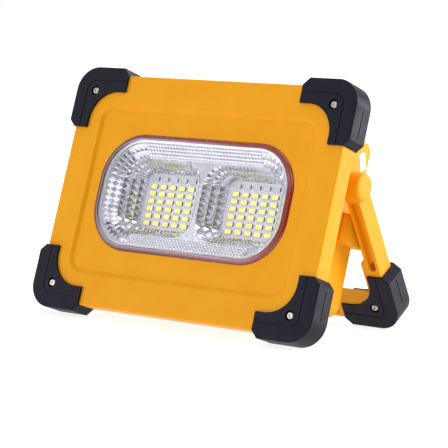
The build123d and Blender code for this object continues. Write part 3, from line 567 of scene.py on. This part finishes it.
def make_gasket():
    """Two-bead ring round the window."""
    b = Builder()
    rings = [b.ring(window_outline(offset, (8, 4, 20)), y) for offset, y in GASKET_PROFILE]
    for outer, inner, (offset, _) in zip(rings, rings[1:], GASKET_PROFILE[1:]):
        b.band(outer, inner, CLEAR_BEAD if BEAD_START < offset < BEAD_END else RUBBER)
    b.band(rings[-1], rings[0], RUBBER)
    piece = add_piece("window_gasket", b, [gasket, gasket_edge], (RUBBER, CLEAR_BEAD))
    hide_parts("lens_gasket")


# ---- light-emitting packages ----
COLUMNS = 5
ROWS = 6
PITCH_X = 8.3
PITCH_Z = 5.4
FIRST_Z = 10.8                    # height of the top row of lamp packages
SIGNAL_Z = 16.6                   # height of the row of signal packages
PACKAGE_LENGTH = 5.7
PACKAGE_WIDTH = 3.6
PACKAGE_HEIGHT = 0.8
TERMINAL_LENGTH = 0.75
TERMINAL_HALF_WIDTH = 1.2


def terminal(b, x, z, end):
    """Wedge of solder at one end of a package."""
    base = FLOOR_DEPTH
    x0 = x + end * (PACKAGE_LENGTH / 2 - 0.05)
    x1 = x + end * (PACKAGE_LENGTH / 2 + TERMINAL_LENGTH)
    section = ((x0, base), (x0, base - 0.5), (x1, base - 0.06), (x1, base))
    low = []
    for px, py in section:
        low.append(b.point(px, py, z - TERMINAL_HALF_WIDTH))
        low.append(b.point(px, py, z + TERMINAL_HALF_WIDTH))
    for p, q in ((0, 1), (1, 2), (2, 3)):
        b.face((low[2 * p], low[2 * p + 1], low[2 * q + 1], low[2 * q]), SOLDER_AND_SHADE)
    b.face(low[0::2], SOLDER_AND_SHADE)
    b.face(low[1::2], SOLDER_AND_SHADE)


def package(b, x, z, well):
    """White package with a sunk well of the given kind, its sides painted dark with the solder material as
    painted shade round it, and a soldered terminal at each end.
    """
    half_l = PACKAGE_LENGTH / 2
    half_w = PACKAGE_WIDTH / 2
    top = FLOOR_DEPTH - PACKAGE_HEIGHT
    steps = [(0.0, 0.0, 0.15, FLOOR_DEPTH), (0.0, 0.0, 0.15, top + 0.1), (0.1, 0.1, 0.15, top),
             (0.22, 0.24, 0.5, top), (0.30, 0.32, 0.45, top + 0.12)]
    rings = []
    for end_inset, side_inset, corner, y in steps:
        outline = ring_points(half_l - end_inset, half_w - side_inset, corner, 1, 1, 3, x)
        rings.append(b.ring([(px, pz + z) for px, pz in outline], y))
    # painted shade: the package's white sides take the dark solder material, which outlines each package
    b.band(rings[0], rings[1], SOLDER_AND_SHADE)
    for outer, inner in zip(rings[1:], rings[2:]):
        b.band(outer, inner, BODY)
    b.face(rings[-1][::-1], well)
    for end in (-1, 1):
        terminal(b, x, z, end)


def make_leds():
    """Two groups of lamp packages, each under one row of signal packages."""
    lamp = Builder()
    signal = Builder()
    for side in (-1, 1):
        for column in range(COLUMNS):
            x = side * FLOOR_CENTRE + (column - (COLUMNS - 1) / 2) * PITCH_X
            for row in range(ROWS):
                package(lamp, x, FIRST_Z - row * PITCH_Z, PHOSPHOR)
            package(signal, x, SIGNAL_Z, RESIN)
    for name, b, node, slot in (("lamp_led_packages", lamp, "lamp_leds", "lamp_led_yellow"),
                                ("signal_led_packages", signal, "signal_leds", "signal_led_white")):
        piece = add_piece(name, b, [board_white, phosphor, clear_resin, solder_and_shade], ())
        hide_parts(node)


# ---- floor, lights and camera ----
WORLD_LOW = 0.06                  # brightness facing away from the studio's large light
WORLD_HIGH = 0.72                 # brightness facing it
WORLD_SIDE = (-0.75, -0.20, 0.63)
FLOOR_HALF = 6.0                  # metres
CAMERA_PLACE = (0.76039, -1.04969, 0.219)
CAMERA_RIGHT = Vector((0.808856, 0.587498, 0.024460))
CAMERA_UP = Vector((-0.087248, 0.078775, 0.993067))
FOCAL_LENGTH = 147.857            # millimetres, on a sensor 36 wide
SUNS = [("key", (-0.62, -0.78, 0.06), 0.30, 34), ("front", (0.45, -0.5, 0.74), 0.13, 24),
        ("rim", (0.9, 0.35, 0.55), 0.45, 36), ("back", (0.62, 0.78, 0.12), 0.85, 30),
        ("upper_back", (-0.05, 0.7, 0.72), 0.55, 36), ("top", (0.12, 0.15, 1.0), 0.15, 36)]


def make_floor():
    """Plain pale floor."""
    bm = bmesh.new()
    bmesh.ops.create_grid(bm, x_segments=2, y_segments=2, size=FLOOR_HALF)
    mesh = bpy.data.meshes.new("floor")
    bm.to_mesh(mesh)
    bm.free()
    floor = bpy.data.objects.new("floor", mesh)
    bpy.context.scene.collection.objects.link(floor)
    s = Shader("floor_pale", (0.3, 0.3, 0.3), 0.7, Specular_IOR_Level=0.1)
    s.colour(s.ramp(s.noise(0.002, 2.0), [(0.3, (0.28, 0.28, 0.28)), (0.7, (0.32, 0.32, 0.32))]))
    s.set("Emission Color", (1.0, 1.0, 1.0, 1))
    s.set("Emission Strength", 0.86)
    mesh.materials.append(s.material)


def make_sun(name, direction, strength, spread):
    """A very soft distant light that shines from the given direction; spread is its width in degrees."""
    data = bpy.data.lights.new(name, "SUN")
    data.energy = strength * math.pi
    data.angle = math.radians(spread)
    light = bpy.data.objects.new(name, data)
    light.rotation_euler = Vector(direction).to_track_quat("Z", "Y").to_euler()
    bpy.context.scene.collection.objects.link(light)


def make_world():
    """Studio with one large soft light up on the left, dim on the right, behind a white backdrop."""
    world = bpy.data.worlds.new("studio")
    bpy.context.scene.world = world
    world.use_nodes = True
    tree = world.node_tree
    background = tree.nodes["Background"]
    coords = tree.nodes.new("ShaderNodeTexCoord")
    towards = tree.nodes.new("ShaderNodeVectorMath")
    towards.operation = "DOT_PRODUCT"
    towards.inputs[1].default_value = WORLD_SIDE
    glow = tree.nodes.new("ShaderNodeMapRange")
    glow.interpolation_type = "SMOOTHSTEP"
    limits = {"From Min": -0.2, "From Max": 0.9, "To Min": WORLD_LOW, "To Max": WORLD_HIGH}
    for socket, value in limits.items():
        glow.inputs[socket].default_value = value
    path = tree.nodes.new("ShaderNodeLightPath")
    seen = tree.nodes.new("ShaderNodeMath")
    seen.operation = "MAXIMUM"
    tree.links.new(coords.outputs["Generated"], towards.inputs[0])
    tree.links.new(towards.outputs["Value"], glow.inputs["Value"])
    tree.links.new(glow.outputs["Result"], seen.inputs[0])
    tree.links.new(path.outputs["Is Camera Ray"], seen.inputs[1])
    background.inputs["Color"].default_value = (1.0, 1.0, 1.0, 1)
    tree.links.new(seen.outputs["Value"], background.inputs["Strength"])


def make_camera():
    """Long lens at the front right, a little above the lamp."""
    data = bpy.data.cameras.new("camera")
    data.lens = FOCAL_LENGTH
    data.sensor_width = 36
    data.clip_start = 0.05
    camera = bpy.data.objects.new("camera", data)
    camera_back = CAMERA_RIGHT.cross(CAMERA_UP)
    turn = Matrix((CAMERA_RIGHT, CAMERA_UP, camera_back)).transposed().to_4x4()
    camera.matrix_world = Matrix.Translation(CAMERA_PLACE) @ turn
    bpy.context.scene.collection.objects.link(camera)
    bpy.context.scene.camera = camera


make_reflector()
make_gasket()
make_leds()
make_floor()
make_world()
for settings in SUNS:
    make_sun(*settings)
make_camera()
bpy.context.scene.view_settings.view_transform = "Standard"
